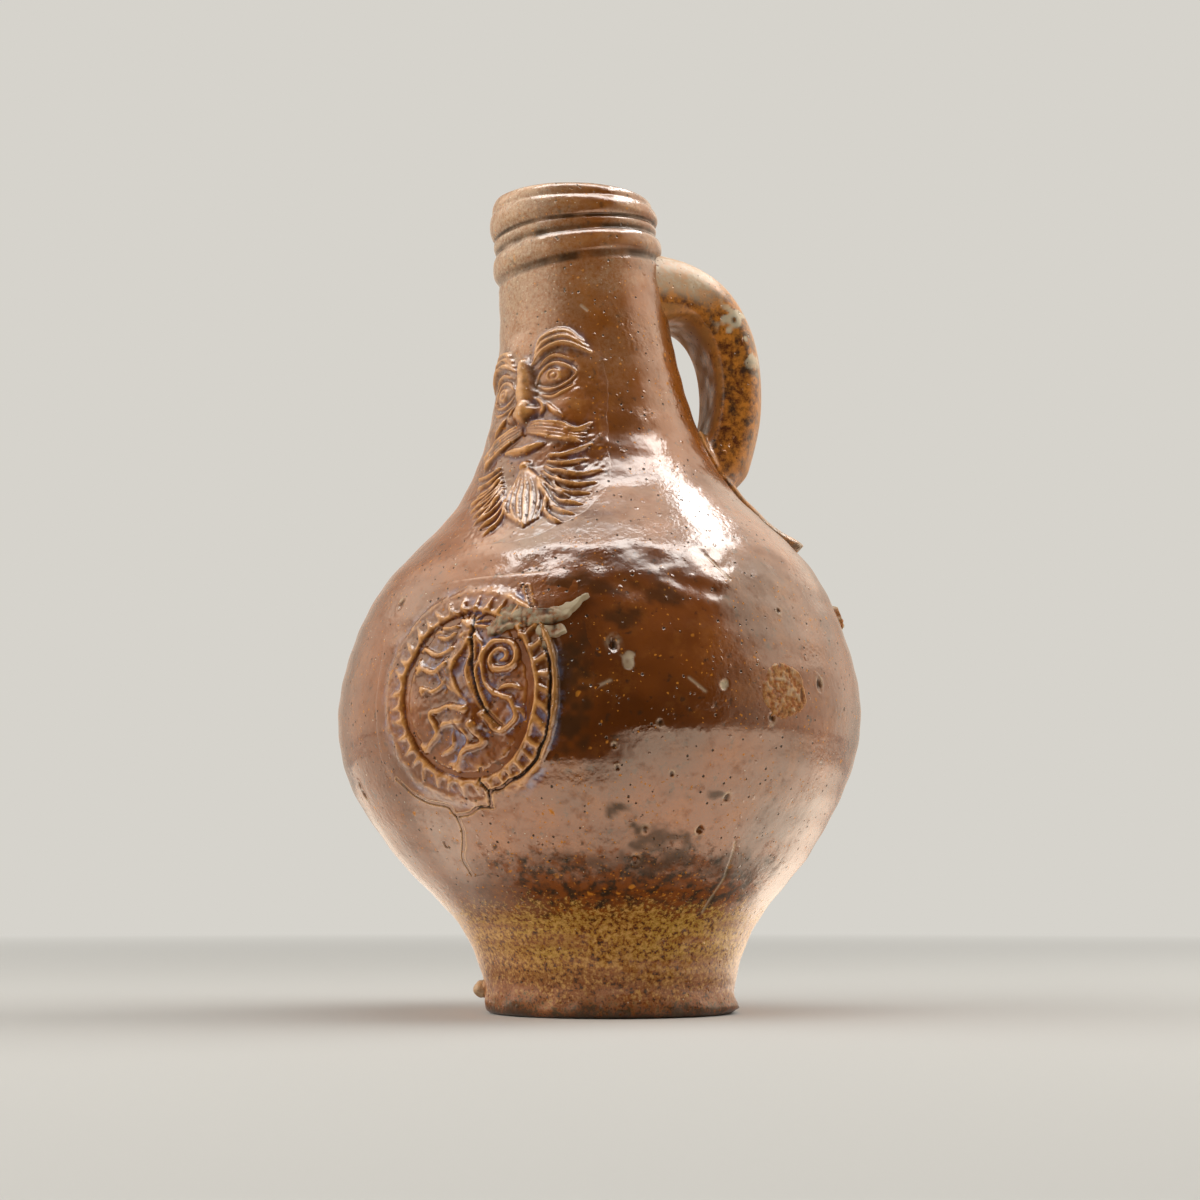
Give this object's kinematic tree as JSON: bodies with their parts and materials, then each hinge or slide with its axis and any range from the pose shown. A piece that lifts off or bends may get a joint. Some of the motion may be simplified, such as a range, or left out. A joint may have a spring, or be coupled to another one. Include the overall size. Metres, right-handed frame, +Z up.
{
  "type": "stoneware jug",
  "caption": "Salt-glazed stoneware bottle jug with a bulbous belly, leaning neck, pulled strap handle, bearded mask and oval medallion, for holding and pouring drink.",
  "frame": {"origin": "centre of the flat base", "axes": "+Z up along the height, +X towards the handle"},
  "size_m": [0.1391, 0.1392, 0.2199],
  "materials": {
    "brown_glaze": "glossy salt glaze over an iron wash",
    "amber_glaze": "glossy salt glaze, thin and tan on the crests",
    "mottled_glaze": "mottled salt glaze, satin",
    "kiln_clay": "rough fired clay",
    "slip": "fired slip"
  },
  "bodies": {
    "root": {"vessel": "brown_glaze", "handle": "mottled_glaze", "handle_top_slip": "slip", "handle_tail_slip": "slip", "face_mask": "amber_glaze", "mask_slip": "slip", "medallion": "amber_glaze", "medallion_slip": "slip", "belly_scar": "kiln_clay", "shoulder_scab": "kiln_clay", "medallion_scab": "kiln_clay", "foot_pellet": "mottled_glaze"}
  },
  "joints": []
}
